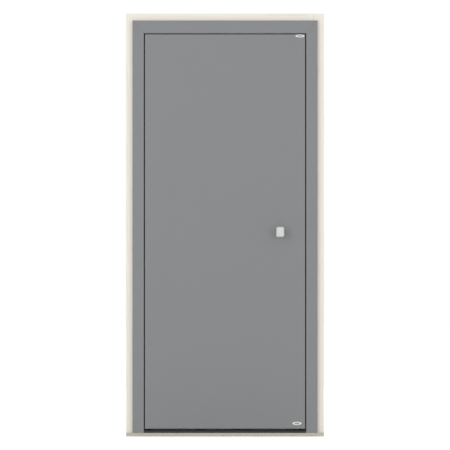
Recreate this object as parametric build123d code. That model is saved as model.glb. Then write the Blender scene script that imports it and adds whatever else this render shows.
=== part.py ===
# Wood-aluminium front door: a timber frame clad in aluminium on a stone sill,
# and one leaf that opens inwards on three hinges.
# Millimetres. X runs across the door, Y from outside to inside, Z up.
# The origin is the middle of the sill's underside.

import os

from build123d import *

# Whole frame
frame_width = 1100
frame_height = 2350
frame_depth = 110

# Stone sill under the frame
sill_height = 20
sill_nose_radius = 2

# Faces seen from outside: bare timber, then aluminium, then the gap round the leaf
side_timber_face = 36
side_cladding_face = 63
head_timber_face = 39
head_cladding_face = 71
leaf_gap = 6

# Aluminium shells on the frame
cladding_depth = 20
cladding_wall = 2
cladding_slant = 5
cladding_foot = 12
cladding_edge_radius = 1.2

# Steps of the frame timber behind the shells, each set back from the one before
lip_depth = 28
lip_setback = 7
rebate_depth = 38
rebate_setback = 22
inner_setback = 18

# Softened edges of the timber
arris_radius = 2

# Leaf section
panel_wall = 2.5
panel_depth = 22
panel_edge_radius = 1.2
flange_gap = 12
rebate_gap = 12
board_thickness = 13
board_edge_radius = 2
stile_width = 98
bottom_rail_height = 150

# Threshold
threshold_nose_height = 13
threshold_upstand_height = 18
threshold_slope_run = 25
threshold_nose_radius = 2
platform_height = 8
thermal_break_width = 16
ramp_run = 15
ramp_drop = 4
foot_groove_count = 4
foot_groove_pitch = 6
foot_groove_width = 2
foot_groove_depth = 1
leaf_foot_gap = 8

# Rubber seals
seal_groove_width = 4
seal_groove_depth = 6
seal_stand = 6
seal_bulb_radius = 4
seal_wall = 1.4
bottom_seal_stand = 3
bottom_seal_width = 10

# Fixing holes through the jambs, two pairs a side
fixing_hole_radius = 4
fixing_end_distance = 200
fixing_inner_share = 1 / 3

# Hinges
hinge_end_distance = 254
hinge_height = 110
knuckle_height = 51
knuckle_gap = 0.5
barrel_radius = 8
pin_radius = 5
pin_clearance = 0.05
pin_cap_radius = 7
pin_cap_height = 4
hinge_axis_stand = 13
hinge_axis_inset = 3
wing_thickness = 3
wing_reach = 46
wing_edge = 4
wing_web_run = 18
wing_web_share = 0.7
wing_clear = 6

# Lock edge
plate_thickness = 3
plate_width = 20
plate_corner_radius = 6
faceplate_end_distance = 170
bolt_width = 14
bolt_clearance = 0.3
latch_height = 34
latch_nose = 4
dead_bolt_height = 40
hook_height = 50
latch_rise = 8
dead_bolt_drop = 56
hook_end_distance = 360
strike_margin = 34
strike_pocket_depth = 25

# Pull knob outside
knob_backset = 162
knob_z = 1137
knob_width = 44
knob_height = 57
knob_back_inset = 7
knob_taper = 9
knob_depth = 22
knob_bevel = 8
knob_chamfer = 4
knob_neck_width = 22
knob_neck_bevel = 6
knob_neck_length = 28
knob_rosette_width = 38
knob_rosette_height = 50
knob_rosette_bevel = 8
rosette_thickness = 8
rosette_chamfer = 1.5

# Lever and thumb turn inside
lever_backset = 65
lever_z = 1072
round_rosette_radius = 26
lever_projection = 52
lever_reach = 128
lever_bend_radius = 20
lever_grip_height = 20
lever_grip_thickness = 12
lever_bevel = 3
lever_end_chamfer = 2
lever_neck_radius = 9
turn_drop = 92
turn_length = 36
turn_thickness = 13
turn_projection = 24
turn_bevel = 4
turn_chamfer = 2

# Levels that follow from the sizes above
half_width = frame_width / 2
front_y = -frame_depth / 2
back_y = frame_depth / 2
timber_y = front_y + cladding_depth
stop_y = timber_y + lip_depth
inner_stop_y = stop_y + rebate_depth
flange_y = stop_y + flange_gap
board_y = back_y - board_thickness
platform_z = sill_height + platform_height
upstand_z = sill_height + threshold_upstand_height
panel_foot_z = upstand_z + leaf_gap
leaf_foot_z = platform_z + leaf_foot_gap

# How far each edge lies outside the inner edge of the cladding
lip_step = lip_setback
rebate_step = lip_step + rebate_setback
inner_step = rebate_step + inner_setback
leaf_rebate_step = rebate_step - rebate_gap
leaf_board_step = inner_step - leaf_gap
outer_seal_step = (lip_step + leaf_rebate_step) / 2
inner_seal_step = (rebate_step + leaf_board_step) / 2
leaf_seal_step = seal_bulb_radius - leaf_gap - panel_wall


# Half width and top of the opening at an edge that lies this far outside the cladding's inner edge
def reach(step):
    x = half_width - side_timber_face - side_cladding_face + step
    z = frame_height - head_timber_face - head_cladding_face + step
    return x, z


threshold_half_length = reach(inner_step)[0]
leaf_top_z = reach(leaf_rebate_step)[1]
leaf_edge_x = reach(leaf_rebate_step)[0]
bolt_y = (flange_y + inner_stop_y) / 2
hinge_x = -reach(leaf_board_step)[0] - hinge_axis_inset
hinge_y = back_y + hinge_axis_stand
knuckle_end = knuckle_height / 2 + knuckle_gap
hinge_heights = {
    "bottom": leaf_foot_z + hinge_end_distance,
    "middle": (leaf_foot_z + leaf_top_z) / 2,
    "top": leaf_top_z - hinge_end_distance,
}
lever_x = leaf_edge_x - lever_backset
knob_x = leaf_edge_x - knob_backset
bolts = {
    "lower_hook": (leaf_foot_z + hook_end_distance, hook_height),
    "dead_bolt": (lever_z - dead_bolt_drop, dead_bolt_height),
    "latch": (lever_z + latch_rise, latch_height),
    "upper_hook": (leaf_top_z - hook_end_distance, hook_height),
}
strikes = {
    "lower": ["lower_hook"],
    "main": ["dead_bolt", "latch"],
    "upper": ["upper_hook"],
}


# A block between two corners
def block(x0, x1, y0, y1, z0, z1):
    return Pos((x0 + x1) / 2, (y0 + y1) / 2, (z0 + z1) / 2) * Box(x1 - x0, y1 - y0, z1 - z0)


# A bar along X with its section drawn in Y and Z
def bar(points, half_length):
    return extrude(Plane.YZ * Polygon(*points, align=None), half_length, both=True)


# A plane facing along X, drawn on in Y and Z
def edge_plane(x, y, z):
    return Plane(origin=(x, y, z), x_dir=(0, 1, 0), z_dir=(1, 0, 0))


# A plane facing outside, drawn on in X and Z
def outer_plane(x, y, z):
    return Plane(origin=(x, y, z), x_dir=(1, 0, 0), z_dir=(0, -1, 0))


# A plane facing inside, drawn on in X and Z, with its own X turned round
def inner_plane(x, y, z):
    return Plane(origin=(x, y, z), x_dir=(-1, 0, 0), z_dir=(0, 1, 0))


# A rectangle with its corners cut off
def bevelled(width, height, bevel):
    return chamfer(Rectangle(width, height).vertices(), bevel)


def other_side(shape):
    return mirror(shape, about=Plane.YZ)


def sill_slab():
    slab = block(-half_width, half_width, front_y, back_y, 0, sill_height)
    nose = slab.edges().filter_by(Axis.X).group_by(Axis.Z)[-1].sort_by(Axis.Y)[0]
    return fillet(nose, sill_nose_radius)


# The frame timber's stepped section, from its outer edge to the steps of the opening
def timber_section(outer, lip, rebate, inner):
    return Polygon(
        (outer, timber_y),
        (lip, timber_y),
        (lip, stop_y),
        (rebate, stop_y),
        (rebate, inner_stop_y),
        (inner, inner_stop_y),
        (inner, back_y),
        (outer, back_y),
        align=None,
    )


# The same section with the corners that stand out softened
def softened(section, outer, lip, rebate, inner):
    corners = [(outer, timber_y), (lip, stop_y), (rebate, inner_stop_y), (inner, back_y), (outer, back_y)]
    for x, y in corners:
        section = fillet(section.vertices().sort_by_distance((x, y, 0))[0], arris_radius)
    return section


# Outer edge and steps of the hinge jamb along X, and of the head along Z
def jamb_edges():
    return -half_width, -reach(lip_step)[0], -reach(rebate_step)[0], -reach(inner_step)[0]


def head_edges():
    return frame_height, reach(lip_step)[1], reach(rebate_step)[1], reach(inner_step)[1]


def upright(section):
    return Pos(0, 0, sill_height) * extrude(section, frame_height - sill_height, dir=(0, 0, 1))


# The hinge jamb with sharp edges, for what is fitted round it
def jamb_blank():
    return upright(timber_section(*jamb_edges()))


# The hinge jamb with soft edges, before its grooves and holes
def soft_jamb():
    return upright(softened(timber_section(*jamb_edges()), *jamb_edges()))


# The head's ends are coped over the steps of both jambs
def soft_head():
    section = softened(timber_section(*head_edges()), *head_edges())
    upright_plane = Plane(origin=(0, 0, 0), x_dir=(0, 0, 1), z_dir=(-1, 0, 0))
    head = extrude(upright_plane * section, half_width, both=True)
    return head - jamb_blank() - other_side(jamb_blank())


# A section carried up one side, across the top and down the other
def seal_run(section, step, y, foot_z):
    x, z = reach(step)
    path = Polyline((-x, y, foot_z), (-x, y, z), (x, y, z), (x, y, foot_z))
    start = Plane(origin=(-x, y, foot_z), x_dir=(1, 0, 0), z_dir=(0, 0, 1))
    return sweep(start * section, path=path, transition=Transition.RIGHT)


def seal_groove_section():
    return Pos(0, -seal_groove_depth / 2) * Rectangle(seal_groove_width, seal_groove_depth)


# A hollow bulb on a stem that fills the groove
def seal_section():
    centre = Pos(0, seal_stand - seal_bulb_radius)
    in_timber = Pos(0, -seal_bulb_radius) * Rectangle(2 * seal_bulb_radius, 2 * seal_bulb_radius)
    bulb = centre * Circle(seal_bulb_radius) - in_timber
    return bulb + seal_groove_section() - centre * Circle(seal_bulb_radius - seal_wall)


# A seal or its groove on the frame, in the step next to the cladding or in the inner one
def on_outer_step(section):
    return seal_run(section, outer_seal_step, stop_y, platform_z)


def on_inner_step(section):
    return seal_run(section, inner_seal_step, inner_stop_y, platform_z)


# The same on the leaf's flange, turned round to face outside
def on_leaf_flange(section):
    return seal_run(Rot(0, 0, 180) * section, leaf_seal_step, flange_y, panel_foot_z + panel_wall)


def seal_grooves():
    return [on_outer_step(seal_groove_section()), on_inner_step(seal_groove_section())]


# Heights of the fixing holes: an outer pair and an inner pair
def fixing_heights():
    low = sill_height + fixing_end_distance
    high = frame_height - fixing_end_distance
    inset = (high - low) * fixing_inner_share
    return [low, low + inset, high - inset, high]


# Screw holes through the hinge jamb, from its rebate to the wall
def fixing_holes():
    y = (stop_y + inner_stop_y) / 2
    length = half_width - reach(rebate_step)[0]
    holes = []
    for z in fixing_heights():
        holes.append(extrude(edge_plane(-half_width, y, z) * Circle(fixing_hole_radius), length))
    return holes


def hinge_jamb():
    return soft_jamb() - seal_grooves() - fixing_holes()


# The lock jamb also takes the strike plates, with a pocket behind each opening
def lock_jamb():
    jamb = other_side(soft_jamb() - fixing_holes()) - seal_grooves()
    for name in strikes:
        jamb -= strike_outline(name)
        jamb -= bolt_openings(strikes[name], reach(rebate_step)[0], strike_pocket_depth)
    return jamb


def frame_head():
    return soft_head() - seal_grooves()


# The shell's section: X from its outer edge inwards, Y from its face back to the timber
def cladding_section(face, slant):
    outline = Polygon((0, 0), (face, 0), (face - slant, cladding_depth), (0, cladding_depth), align=None)
    hollow = offset(outline, -cladding_wall)
    mouth_width = face - slant - 2 * cladding_foot
    mouth_x = cladding_foot + mouth_width / 2
    mouth = Pos(mouth_x, cladding_depth - cladding_wall / 2) * Rectangle(mouth_width, cladding_wall)
    front_corners = outline.vertices().group_by(Axis.Y)[0]
    return fillet(front_corners, cladding_edge_radius) - hollow - mouth


# The same section without its hollow, for what is fitted round the shell
def cladding_filled():
    outer_x = half_width - side_timber_face
    inner_x = outer_x - side_cladding_face
    outline = Polygon(
        (-outer_x, front_y),
        (-inner_x, front_y),
        (-inner_x - cladding_slant, timber_y),
        (-outer_x, timber_y),
        align=None,
    )
    return Pos(0, 0, sill_height) * extrude(outline, upstand_z - sill_height, dir=(0, 0, 1))


# Corners of the mitre: the outer and the inner edge of the shells
def mitre_corners():
    inner_x, inner_z = reach(0)
    return (inner_x + side_cladding_face, inner_z + head_cladding_face), (inner_x, inner_z)


def cut_to_face(shell, points):
    face = outer_plane(0, front_y + cladding_depth, 0) * Polygon(*points, align=None)
    return shell & extrude(face, cladding_depth)


def jamb_cladding():
    (outer_x, outer_z), (inner_x, inner_z) = mitre_corners()
    start = Plane(origin=(-outer_x, front_y, sill_height), x_dir=(1, 0, 0), z_dir=(0, 0, 1))
    section = start * cladding_section(side_cladding_face, cladding_slant)
    shell = extrude(section, outer_z - sill_height)
    corners = [(-outer_x, sill_height), (-inner_x, sill_height), (-inner_x, inner_z), (-outer_x, outer_z)]
    return cut_to_face(shell, corners)


def head_cladding():
    (outer_x, outer_z), (inner_x, inner_z) = mitre_corners()
    slant = cladding_slant * head_cladding_face / side_cladding_face
    start = Plane(origin=(0, front_y, outer_z), x_dir=(0, 0, -1), z_dir=(1, 0, 0))
    shell = extrude(start * cladding_section(head_cladding_face, slant), outer_x, both=True)
    corners = [(-outer_x, outer_z), (-inner_x, inner_z), (inner_x, inner_z), (outer_x, outer_z)]
    return cut_to_face(shell, corners)


# Threshold pieces run between the jambs and are coped to their steps and shells
def cope(profile):
    for side in [jamb_blank() + cladding_filled(), other_side(jamb_blank() + cladding_filled())]:
        profile -= side
    return profile


def threshold_outer():
    section = [
        (front_y, sill_height),
        (front_y, sill_height + threshold_nose_height),
        (front_y + threshold_slope_run, upstand_z),
        (stop_y, upstand_z),
        (stop_y, sill_height),
    ]
    profile = bar(section, threshold_half_length)
    top_front = profile.edges().filter_by(Axis.X).group_by(Axis.Y)[0].sort_by(Axis.Z)[-1]
    return cope(fillet(top_front, threshold_nose_radius))


def threshold_break():
    section = [
        (stop_y, sill_height),
        (stop_y, platform_z),
        (stop_y + thermal_break_width, platform_z),
        (stop_y + thermal_break_width, sill_height),
    ]
    return cope(bar(section, threshold_half_length))


def threshold_inner():
    start_y = stop_y + thermal_break_width
    section = [
        (start_y, sill_height),
        (start_y, platform_z),
        (back_y - ramp_run, platform_z),
        (back_y, platform_z - ramp_drop),
        (back_y, sill_height),
    ]
    profile = bar(section, threshold_half_length)
    for number in range(foot_groove_count):
        y = start_y + (number + 1) * foot_groove_pitch
        depth_z = platform_z - foot_groove_depth
        groove_y = y + foot_groove_width
        profile -= block(-threshold_half_length, threshold_half_length, y, groove_y, depth_z, platform_z)
    return cope(profile)


# The leaf's timber and core as one stepped block, which the members are cut from
def leaf_blank():
    face_x, face_z = reach(-leaf_gap)
    rebate_x, rebate_z = reach(leaf_rebate_step)
    outer = block(
        -face_x + panel_wall,
        face_x - panel_wall,
        front_y + panel_wall,
        flange_y,
        panel_foot_z + panel_wall,
        face_z - panel_wall,
    )
    inner = block(-rebate_x, rebate_x, flange_y, board_y, leaf_foot_z, rebate_z)
    inner = fillet(inner.faces().sort_by(Axis.Y)[0].edges(), arris_radius)
    return outer + inner - on_leaf_flange(seal_groove_section())


# One member of the leaf, between two widths and two heights
def leaf_member(x0, x1, z0, z1):
    return leaf_blank() & block(x0, x1, front_y, back_y, z0, z1) - bottom_seal_stem()


# Inner edges of the stiles and rails
def leaf_core_edges():
    return leaf_edge_x - stile_width, leaf_foot_z + bottom_rail_height, leaf_top_z - stile_width


def leaf_hinge_stile():
    inner_x, _, _ = leaf_core_edges()
    return leaf_member(-leaf_edge_x, -inner_x, leaf_foot_z, leaf_top_z)


def leaf_lock_stile():
    inner_x, _, _ = leaf_core_edges()
    stile = leaf_member(inner_x, leaf_edge_x, leaf_foot_z, leaf_top_z)
    return stile - faceplate_outline()


def leaf_top_rail():
    inner_x, _, top = leaf_core_edges()
    return leaf_member(-inner_x, inner_x, top, leaf_top_z)


def leaf_bottom_rail():
    inner_x, bottom, _ = leaf_core_edges()
    return leaf_member(-inner_x, inner_x, leaf_foot_z, bottom)


def leaf_core():
    inner_x, bottom, top = leaf_core_edges()
    return leaf_member(-inner_x, inner_x, bottom, top)


# A tray of sheet that wraps the leaf's front edges
def leaf_outer_panel():
    x, z = reach(-leaf_gap)
    rim_y = front_y + panel_depth
    sheet = block(-x, x, front_y, rim_y, panel_foot_z, z)
    sheet = fillet(sheet.faces().sort_by(Axis.Y)[0].edges(), panel_edge_radius)
    inner_x = x - panel_wall
    inner_foot = panel_foot_z + panel_wall
    hollow = block(-inner_x, inner_x, front_y + panel_wall, rim_y, inner_foot, z - panel_wall)
    return sheet - hollow


def leaf_inner_board():
    x, z = reach(leaf_board_step)
    board = block(-x, x, board_y, back_y, leaf_foot_z, z)
    return fillet(board.faces().sort_by(Axis.Y)[-1].edges(), board_edge_radius)


# The groove under the leaf that holds the bottom seal
def bottom_seal_stem():
    half = seal_groove_width / 2
    top = leaf_foot_z + seal_groove_depth
    return block(-leaf_edge_x, leaf_edge_x, bolt_y - half, bolt_y + half, leaf_foot_z, top)


def leaf_bottom_seal():
    half = bottom_seal_width / 2
    foot_z = leaf_foot_z - bottom_seal_stand
    lip = block(-leaf_edge_x, leaf_edge_x, bolt_y - half, bolt_y + half, foot_z, leaf_foot_z)
    lower_edges = lip.edges().filter_by(Axis.X).group_by(Axis.Z)[0]
    return chamfer(lower_edges, bottom_seal_stand / 2) + bottom_seal_stem()


# Openings for the named bolts, as solids that run in along X
def bolt_openings(names, x, depth):
    openings = []
    for name in names:
        z, height = bolts[name]
        slot = Rectangle(bolt_width + 2 * bolt_clearance, height + 2 * bolt_clearance)
        openings.append(extrude(edge_plane(x, bolt_y, z) * slot, depth))
    return openings


def edge_plate(x, low, high):
    outline = RectangleRounded(plate_width, high - low, plate_corner_radius)
    return extrude(edge_plane(x, bolt_y, (low + high) / 2) * outline, plate_thickness)


def faceplate_outline():
    low = leaf_foot_z + faceplate_end_distance
    return edge_plate(leaf_edge_x - plate_thickness, low, leaf_top_z - faceplate_end_distance)


def lock_faceplate():
    return faceplate_outline() - bolt_openings(bolts, leaf_edge_x - plate_thickness, plate_thickness)


# Heads of the bolts, drawn back flush with the faceplate; only the latch keeps its slanted nose out
def lock_bolts():
    shapes = []
    for name, (z, height) in bolts.items():
        nose = latch_nose if name == "latch" else 0
        outline = Polygon(
            (leaf_edge_x - plate_thickness, bolt_y - bolt_width / 2),
            (leaf_edge_x, bolt_y - bolt_width / 2),
            (leaf_edge_x + nose, bolt_y + bolt_width / 2),
            (leaf_edge_x - plate_thickness, bolt_y + bolt_width / 2),
            align=None,
        )
        shapes.append(Pos(0, 0, z) * extrude(outline, height / 2, both=True))
    return Compound(children=shapes)


def strike_outline(name):
    ends = []
    for bolt in strikes[name]:
        z, height = bolts[bolt]
        ends.extend([z - height / 2, z + height / 2])
    return edge_plate(reach(rebate_step)[0], min(ends) - strike_margin, max(ends) + strike_margin)


def strike_plate(name):
    return strike_outline(name) - bolt_openings(strikes[name], reach(rebate_step)[0], plate_thickness)


# Section of a wing with its barrel, seen along the pin, for the leaf's side
def wing_section():
    face_y = -hinge_axis_stand
    start_x = hinge_axis_inset + wing_edge
    plate = Polygon(
        (start_x, face_y),
        (wing_reach, face_y),
        (wing_reach, face_y + wing_thickness),
        (start_x, face_y + wing_thickness),
        align=None,
    )
    web = Polygon(
        (start_x, face_y),
        (start_x + wing_web_run, face_y + wing_thickness),
        (barrel_radius * wing_web_share, barrel_radius * wing_web_share),
        (0, 0),
        (0, -barrel_radius),
        align=None,
    )
    return plate + web + Circle(barrel_radius)


# A cutter that takes the barrel and the web away between two heights
def knuckle_cut(low, high):
    return block(-wing_reach, barrel_radius + wing_clear, -wing_reach, wing_reach, low, high)


def hinge_place(name):
    return Pos(hinge_x, hinge_y, hinge_heights[name])


def wing_blank():
    return extrude(wing_section(), hinge_height / 2, both=True)


def hinge_bore(low, high):
    bore = Cylinder(pin_radius + pin_clearance, high - low)
    return Pos(0, 0, (low + high) / 2) * bore


def hinge_leaf_wing(name):
    end = hinge_height / 2
    knuckle = knuckle_height / 2
    wing = wing_blank() - knuckle_cut(-end, -knuckle) - knuckle_cut(knuckle, end) - hinge_bore(-end, end)
    return hinge_place(name) * wing


# The frame's wing has a bored knuckle above and a solid one below the leaf's
def hinge_frame_wing(name):
    end = hinge_height / 2
    wing = wing_blank() - knuckle_cut(-knuckle_end, knuckle_end) - hinge_bore(knuckle_end, end)
    return hinge_place(name) * other_side(wing)


# A pin that stands on the solid knuckle, with a cap that rests on the bored one
def hinge_pin(name):
    end = hinge_height / 2
    length = end + knuckle_end
    shank = Pos(0, 0, end - length / 2) * Cylinder(pin_radius, length)
    cap = Pos(0, 0, end + pin_cap_height / 2) * Cylinder(pin_cap_radius, pin_cap_height)
    return hinge_place(name) * (shank + cap)


def knob_rosette():
    plane = outer_plane(knob_x, front_y, knob_z)
    outline = bevelled(knob_rosette_width, knob_rosette_height, knob_rosette_bevel)
    plate = extrude(plane * outline, rosette_thickness)
    return chamfer(plate.faces().sort_by(Axis.Y)[0].edges(), rosette_chamfer)


# An eight-sided neck that carries a head, which widens from its back to a rim with a bevelled edge
def pull_knob():
    neck_y = front_y - rosette_thickness
    back_of_head = neck_y - knob_neck_length
    stem = bevelled(knob_neck_width, knob_neck_width, knob_neck_bevel)
    neck = extrude(outer_plane(knob_x, neck_y, knob_z) * stem, knob_neck_length)
    outline = bevelled(knob_width, knob_height, knob_bevel)
    head = extrude(outer_plane(knob_x, back_of_head, knob_z) * outline, knob_depth)
    head = chamfer(head.faces().sort_by(Axis.Y)[0].edges(), knob_chamfer)
    back = head.faces().sort_by(Axis.Y)[-1]
    return neck + chamfer(back.edges(), knob_back_inset, knob_taper, reference=back)


def round_rosette(z):
    plate = extrude(inner_plane(lever_x, back_y, z) * Circle(round_rosette_radius), rosette_thickness)
    return chamfer(plate.faces().sort_by(Axis.Y)[-1].edges(), rosette_chamfer)


# A round neck that turns into a flat grip towards the hinges
def lever_handle():
    seat_y = back_y + rosette_thickness
    grip_y = back_y + lever_projection
    neck_end = grip_y - lever_bend_radius
    neck = extrude(inner_plane(lever_x, seat_y, lever_z) * Circle(lever_neck_radius), neck_end - seat_y)
    path = FilletPolyline(
        (lever_x, neck_end - lever_bend_radius / 2, lever_z),
        (lever_x, grip_y, lever_z),
        (lever_x - lever_reach, grip_y, lever_z),
        radius=lever_bend_radius,
    )
    grip_section = bevelled(lever_grip_thickness, lever_grip_height, lever_bevel)
    start = inner_plane(lever_x, neck_end - lever_bend_radius / 2, lever_z)
    grip = sweep(start * grip_section, path=path)
    end_edges = grip.faces().sort_by(Axis.X)[0].edges()
    return neck + chamfer(end_edges, lever_end_chamfer)


def thumb_turn():
    seat_y = back_y + rosette_thickness
    plane = inner_plane(lever_x, seat_y, lever_z - turn_drop)
    turn = extrude(plane * bevelled(turn_thickness, turn_length, turn_bevel), turn_projection)
    return chamfer(turn.faces().sort_by(Axis.Y)[-1].edges(), turn_chamfer)


pieces = {
    "sill_slab": sill_slab(),
    "threshold_outer": threshold_outer(),
    "threshold_break": threshold_break(),
    "threshold_inner": threshold_inner(),
    "hinge_jamb": hinge_jamb(),
    "lock_jamb": lock_jamb(),
    "frame_head": frame_head(),
    "hinge_jamb_cladding": jamb_cladding(),
    "lock_jamb_cladding": other_side(jamb_cladding()),
    "head_cladding": head_cladding(),
    "outer_seal": on_outer_step(seal_section()),
    "inner_seal": on_inner_step(seal_section()),
    "leaf_outer_panel": leaf_outer_panel(),
    "leaf_hinge_stile": leaf_hinge_stile(),
    "leaf_lock_stile": leaf_lock_stile(),
    "leaf_top_rail": leaf_top_rail(),
    "leaf_bottom_rail": leaf_bottom_rail(),
    "leaf_core": leaf_core(),
    "leaf_inner_board": leaf_inner_board(),
    "leaf_outer_seal": on_leaf_flange(seal_section()),
    "leaf_bottom_seal": leaf_bottom_seal(),
    "lock_faceplate": lock_faceplate(),
    "lock_bolts": lock_bolts(),
    "knob_rosette": knob_rosette(),
    "pull_knob": pull_knob(),
    "lever_rosette": round_rosette(lever_z),
    "lever_handle": lever_handle(),
    "thumb_turn_rosette": round_rosette(lever_z - turn_drop),
    "thumb_turn": thumb_turn(),
}
for strike in strikes:
    pieces[strike + "_strike_plate"] = strike_plate(strike)
for height in hinge_heights:
    pieces[height + "_hinge_frame_wing"] = hinge_frame_wing(height)
    pieces[height + "_hinge_leaf_wing"] = hinge_leaf_wing(height)
    pieces[height + "_hinge_pin"] = hinge_pin(height)

os.makedirs("parts", exist_ok=True)
for name, shape in pieces.items():
    export_step(shape, f"parts/{name}.step")
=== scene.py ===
import math

import bmesh
import bpy
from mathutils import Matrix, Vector


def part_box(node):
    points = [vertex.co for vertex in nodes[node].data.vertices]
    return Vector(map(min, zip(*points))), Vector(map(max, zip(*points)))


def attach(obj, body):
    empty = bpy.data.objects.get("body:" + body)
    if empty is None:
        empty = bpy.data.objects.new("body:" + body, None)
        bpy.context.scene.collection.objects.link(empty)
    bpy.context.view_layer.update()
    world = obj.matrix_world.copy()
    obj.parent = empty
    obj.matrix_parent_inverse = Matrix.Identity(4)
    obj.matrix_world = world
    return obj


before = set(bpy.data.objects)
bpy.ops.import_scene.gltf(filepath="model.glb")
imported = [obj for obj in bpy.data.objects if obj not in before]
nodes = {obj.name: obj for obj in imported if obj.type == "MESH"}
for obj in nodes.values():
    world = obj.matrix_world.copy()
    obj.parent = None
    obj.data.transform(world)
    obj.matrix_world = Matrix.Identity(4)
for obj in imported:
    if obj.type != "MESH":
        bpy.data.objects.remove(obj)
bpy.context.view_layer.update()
print("frame loaded:", len(nodes), "nodes")


# small helpers for node trees

def srgb(red, green, blue):
    made = []
    for value in (red, green, blue):
        share = value / 255
        made.append(share / 12.92 if share <= 0.04045 else ((share + 0.055) / 1.055) ** 2.4)
    return (*made, 1.0)


def plug(tree, value, socket):
    if isinstance(value, bpy.types.NodeSocket):
        tree.links.new(value, socket)
    else:
        socket.default_value = value


def addNode(tree, kind, inputs=None, **settings):
    made = tree.nodes.new(kind)
    for key, value in settings.items():
        setattr(made, key, value)
    for key, value in (inputs or {}).items():
        plug(tree, value, made.inputs[key])
    return made


def math2(tree, operation, first, second=0.0, third=0.0, clamp=False):
    inputs = {0: first, 1: second, 2: third}
    return addNode(tree, "ShaderNodeMath", inputs, operation=operation, use_clamp=clamp).outputs[0]


def times(tree, first, second):
    return math2(tree, "MULTIPLY", first, second)


def perMetre(tree, size):
    return math2(tree, "DIVIDE", 1.0, size)


def vectorMath(tree, operation, *values):
    inputs = dict(enumerate(values))
    return addNode(tree, "ShaderNodeVectorMath", inputs, operation=operation).outputs[0]


def scaled(tree, vector, by):
    return vectorMath(tree, "MULTIPLY", vector, by)


def lengthOf(tree, vector):
    return addNode(tree, "ShaderNodeVectorMath", {0: vector}, operation="LENGTH").outputs["Value"]


def partsOf(tree, vector):
    return addNode(tree, "ShaderNodeSeparateXYZ", {0: vector}).outputs


def joinedVector(tree, x, y, z):
    return addNode(tree, "ShaderNodeCombineXYZ", {0: x, 1: y, 2: z}).outputs[0]


def turned(tree, where, rotation=(0, 0, 0), location=(0, 0, 0)):
    inputs = {"Vector": where, "Location": location, "Rotation": rotation}
    return addNode(tree, "ShaderNodeMapping", inputs).outputs[0]


def noise(tree, vector, scale=1.0, detail=2.0, rough=0.5, output=0):
    inputs = {"Vector": vector, "Scale": scale, "Detail": detail, "Roughness": rough}
    return addNode(tree, "ShaderNodeTexNoise", inputs).outputs[output]


def noiseAlong(tree, value, scale, detail):
    inputs = {"W": value, "Scale": scale, "Detail": detail}
    return addNode(tree, "ShaderNodeTexNoise", inputs, noise_dimensions="1D").outputs[0]


def between(tree, value, low, high, toLow=0.0, toHigh=1.0, smooth=True):
    inputs = {0: value, 1: low, 2: high, 3: toLow, 4: toHigh}
    kind = "SMOOTHSTEP" if smooth else "LINEAR"
    return addNode(tree, "ShaderNodeMapRange", inputs, interpolation_type=kind).outputs[0]


def blendColour(tree, share, first, second):
    # for colours, the Mix node's inputs are 0, 6 and 7 and its output is 2
    inputs = {0: share, 6: first, 7: second}
    return addNode(tree, "ShaderNodeMix", inputs, data_type="RGBA").outputs[2]


def linkAll(tree, values, sockets):
    for label, value in values.items():
        tree.links.new(value, sockets[label])


# shared surface effects: each reads a place on the piece and a few sizes in metres

def newEffect(name, sizes, outputs):
    tree = bpy.data.node_groups.new(name, "ShaderNodeTree")
    sockets = tree.interface
    sockets.new_socket("Vector", in_out="INPUT", socket_type="NodeSocketVector")
    for label, value in sizes.items():
        sockets.new_socket(label, in_out="INPUT", socket_type="NodeSocketFloat").default_value = value
    for label in outputs:
        sockets.new_socket(label, in_out="OUTPUT", socket_type="NodeSocketFloat")
    return tree, tree.nodes.new("NodeGroupInput").outputs, tree.nodes.new("NodeGroupOutput").inputs


timberGrainShape = {
    "trunkSpread": (0.17, 0.12, 3.0),   # how far apart two lamellas may be cut
    "trunkMiddle": (-0.085, 0.05, 0),
    "trunkTaper": (1, 1, 0.02),
    "driftScale": (5, 5, 0.7),
    "yearScale": 0.23,
    "yearDetail": 2.0,
    "yearSpread": 3.4,
    "earlyWood": (0.15, 0.85),          # shares of a year
    "lateWoodEnd": (0.88, 1.0),
    "fibreScale": (620, 620, 9),
    "fibreDetail": 3.0,
    "poreScale": (900, 900, 38),
    "poreDetail": 1.0,
    "poreBand": (0.66, 0.76),
    "glueLine": (0.0003, 0.0008),
}


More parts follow.
